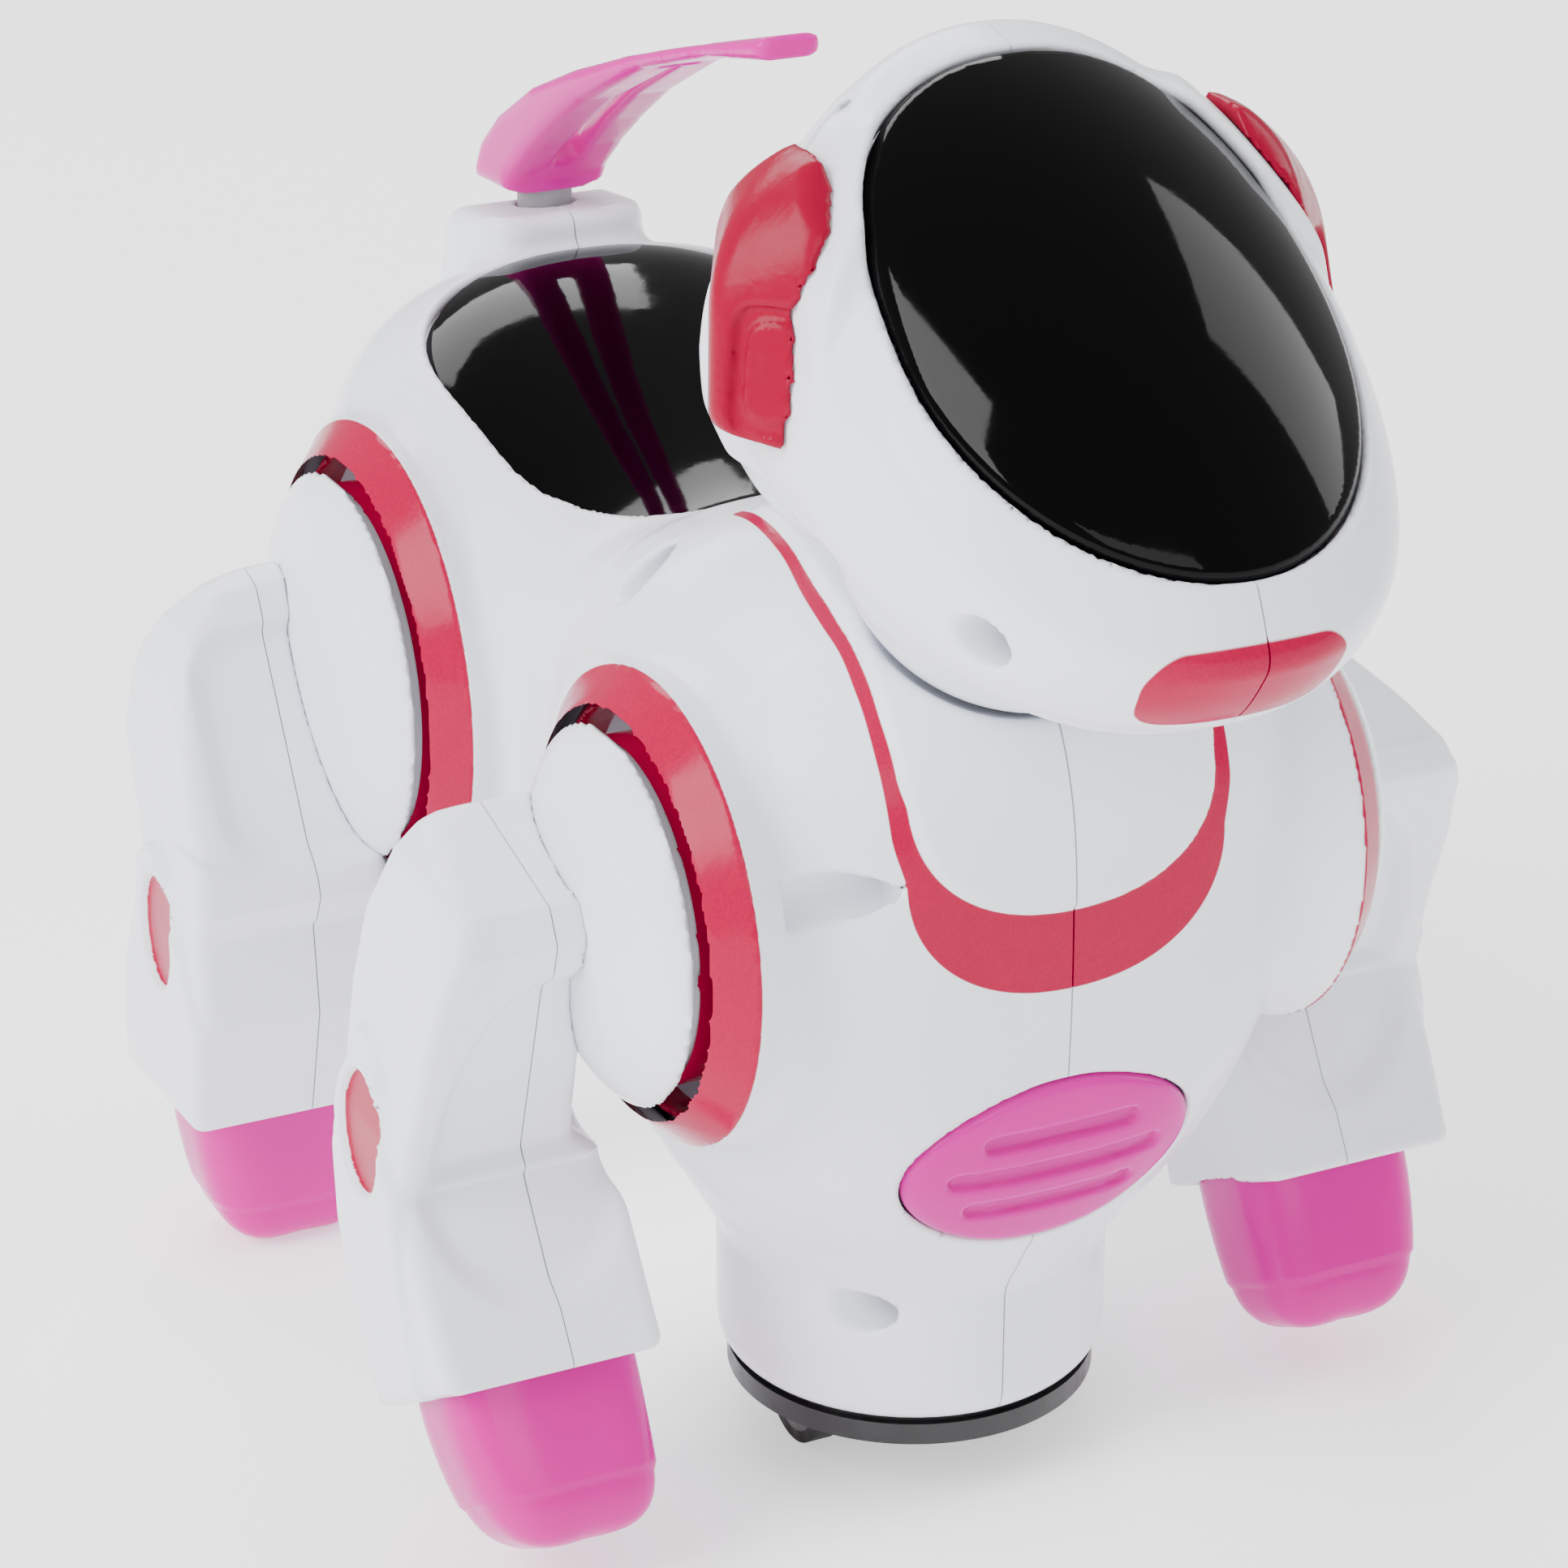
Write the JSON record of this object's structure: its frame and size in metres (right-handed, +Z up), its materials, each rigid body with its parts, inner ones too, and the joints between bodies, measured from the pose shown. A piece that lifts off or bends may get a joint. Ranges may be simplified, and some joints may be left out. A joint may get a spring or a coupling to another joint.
{
  "type": "robot dog toy",
  "caption": "Walking robot dog toy: split white shell on a swivelling wheeled drive base, turning visored head, four swinging legs and a wagging tail.",
  "frame": {"origin": "on the floor, under the vertical axis of the drive pillar below the chest", "axes": "the dog faces -Y, its left side is +X, +Z up"},
  "size_m": [0.1524, 0.2111, 0.1935],
  "materials": {
    "white_shell": "glossy moulded white ABS with pink painted bands, nose and ovals",
    "ear_pink": "satin pink paint on moulded ABS",
    "black_gloss": "very glossy smoked black",
    "pink_clear": "translucent hot pink, glossy",
    "speaker_black": "black speaker frame with a paper cone",
    "grey_plastic": "natural grey moulded plastic",
    "cell_jacket": "plain wrapped dry cell",
    "contact_metal": "nickel-plated spring steel",
    "board_green": "green circuit board with dark parts",
    "black_plastic": "satin black moulded plastic",
    "motor_metal": "plated motor can",
    "gear_nylon": "off-white nylon on a steel axle",
    "wheel_black": "black moulded hub",
    "tyre_rubber": "soft black rubber",
    "steel": "zinc-plated steel"
  },
  "bodies": {
    "toy_body": {"body_shell_left": "white_shell", "body_shell_right": "white_shell", "body_screws": "steel", "back_panel": "black_gloss", "chest_lens": "pink_clear", "speaker": "speaker_black", "battery_box": "grey_plastic", "batteries": "cell_jacket", "battery_contacts": "contact_metal", "battery_door": "white_shell", "battery_door_screw": "steel", "main_board": "board_green", "switch_housing": "grey_plastic", "base_ring": "black_plastic"},
    "power_switch": {"power_switch_knob": "black_plastic"},
    "head": {"head_shell_left": "white_shell", "head_shell_right": "white_shell", "head_screws": "steel", "visor": "black_gloss", "light_board": "board_green", "neck_post": "grey_plastic", "ear_left": "ear_pink", "ear_right": "ear_pink"},
    "tail": {"tail": "pink_clear", "tail_pin": "grey_plastic"},
    "drive_unit": {"turntable": "black_plastic", "drive_motor": "motor_metal"},
    "motor_pinion": {"motor_pinion": "gear_nylon"},
    "compound_gear": {"compound_gear": "gear_nylon"},
    "wheels": {"drive_axle": "gear_nylon", "drive_wheels": "wheel_black", "wheel_tyres": "tyre_rubber"},
    "leg_front_left": {"leg_outer_front_left": "white_shell", "leg_inner_front_left": "white_shell", "leg_hub_front_left": "white_shell", "leg_crank_front_left": "grey_plastic", "leg_foot_front_left": "pink_clear", "leg_screws_front_left": "steel"},
    "leg_front_right": {"leg_outer_front_right": "white_shell", "leg_inner_front_right": "white_shell", "leg_hub_front_right": "white_shell", "leg_crank_front_right": "grey_plastic", "leg_foot_front_right": "pink_clear", "leg_screws_front_right": "steel"},
    "leg_rear_left": {"leg_outer_rear_left": "white_shell", "leg_inner_rear_left": "white_shell", "leg_hub_rear_left": "white_shell", "leg_crank_rear_left": "grey_plastic", "leg_foot_rear_left": "pink_clear", "leg_screws_rear_left": "steel"},
    "leg_rear_right": {"leg_outer_rear_right": "white_shell", "leg_inner_rear_right": "white_shell", "leg_hub_rear_right": "white_shell", "leg_crank_rear_right": "grey_plastic", "leg_foot_rear_right": "pink_clear", "leg_screws_rear_right": "steel"},
    "link_left": {"leg_link_left": "grey_plastic"},
    "link_right": {"leg_link_right": "grey_plastic"}
  },
  "joints": [
    {"name": "head_turn", "type": "hinge", "parent": "toy_body", "child": "head", "pos_m": [0, -0.029, 0.138], "axis": [0, -0.342, 0.9397], "range_deg": [-20, 20]},
    {"name": "tail_wag", "type": "hinge", "parent": "toy_body", "child": "tail", "pos_m": [0, 0.118, 0.137], "axis": [0, 0, 1], "range_deg": [-18, 18]},
    {"name": "switch_slide", "type": "slide", "parent": "toy_body", "child": "power_switch", "axis": [0, 1, 0], "range_m": [0, 0.004]},
    {"name": "drive_swivel", "type": "hinge", "parent": "toy_body", "child": "drive_unit", "pos_m": [0, 0, 0.0125], "axis": [0, 0, 1], "continuous": true},
    {"name": "wheel_spin", "type": "hinge", "parent": "drive_unit", "child": "wheels", "pos_m": [0, 0, 0.008], "axis": [1, 0, 0], "continuous": true},
    {"name": "compound_spin", "type": "hinge", "parent": "drive_unit", "child": "compound_gear", "pos_m": [0, 0.00583, 0.01383], "axis": [1, 0, 0], "continuous": true},
    {"name": "pinion_spin", "type": "hinge", "parent": "drive_unit", "child": "motor_pinion", "pos_m": [0, 0.00293, 0.02182], "axis": [1, 0, 0], "continuous": true},
    {"name": "leg_swing_front_left", "type": "hinge", "parent": "toy_body", "child": "leg_front_left", "pos_m": [0, -0.011, 0.0875], "axis": [1, 0, 0], "range_deg": [-12, 12]},
    {"name": "leg_swing_front_right", "type": "hinge", "parent": "toy_body", "child": "leg_front_right", "pos_m": [0, -0.011, 0.0875], "axis": [1, 0, 0], "range_deg": [-12, 12]},
    {"name": "leg_swing_rear_left", "type": "hinge", "parent": "toy_body", "child": "leg_rear_left", "pos_m": [0, 0.081, 0.0875], "axis": [1, 0, 0], "range_deg": [-12, 12]},
    {"name": "leg_swing_rear_right", "type": "hinge", "parent": "toy_body", "child": "leg_rear_right", "pos_m": [0, 0.081, 0.0875], "axis": [1, 0, 0], "range_deg": [-12, 12]},
    {"name": "link_swing_left", "type": "hinge", "parent": "leg_front_left", "child": "link_left", "pos_m": [0, -0.011, 0.0735], "axis": [1, 0, 0], "range_deg": [-12, 12]},
    {"name": "link_swing_right", "type": "hinge", "parent": "leg_front_right", "child": "link_right", "pos_m": [0, -0.011, 0.0735], "axis": [1, 0, 0], "range_deg": [-12, 12]}
  ],
  "couplings": [
    {"joint": "compound_spin", "follows": "wheel_spin", "ratio": -2.6667},
    {"joint": "pinion_spin", "follows": "wheel_spin", "ratio": 8.6667},
    {"joint": "leg_swing_rear_left", "follows": "leg_swing_front_left", "ratio": 1},
    {"joint": "link_swing_left", "follows": "leg_swing_front_left", "ratio": -1},
    {"joint": "leg_swing_front_right", "follows": "leg_swing_front_left", "ratio": -1},
    {"joint": "leg_swing_rear_right", "follows": "leg_swing_front_left", "ratio": -1},
    {"joint": "link_swing_right", "follows": "leg_swing_front_left", "ratio": 1}
  ]
}
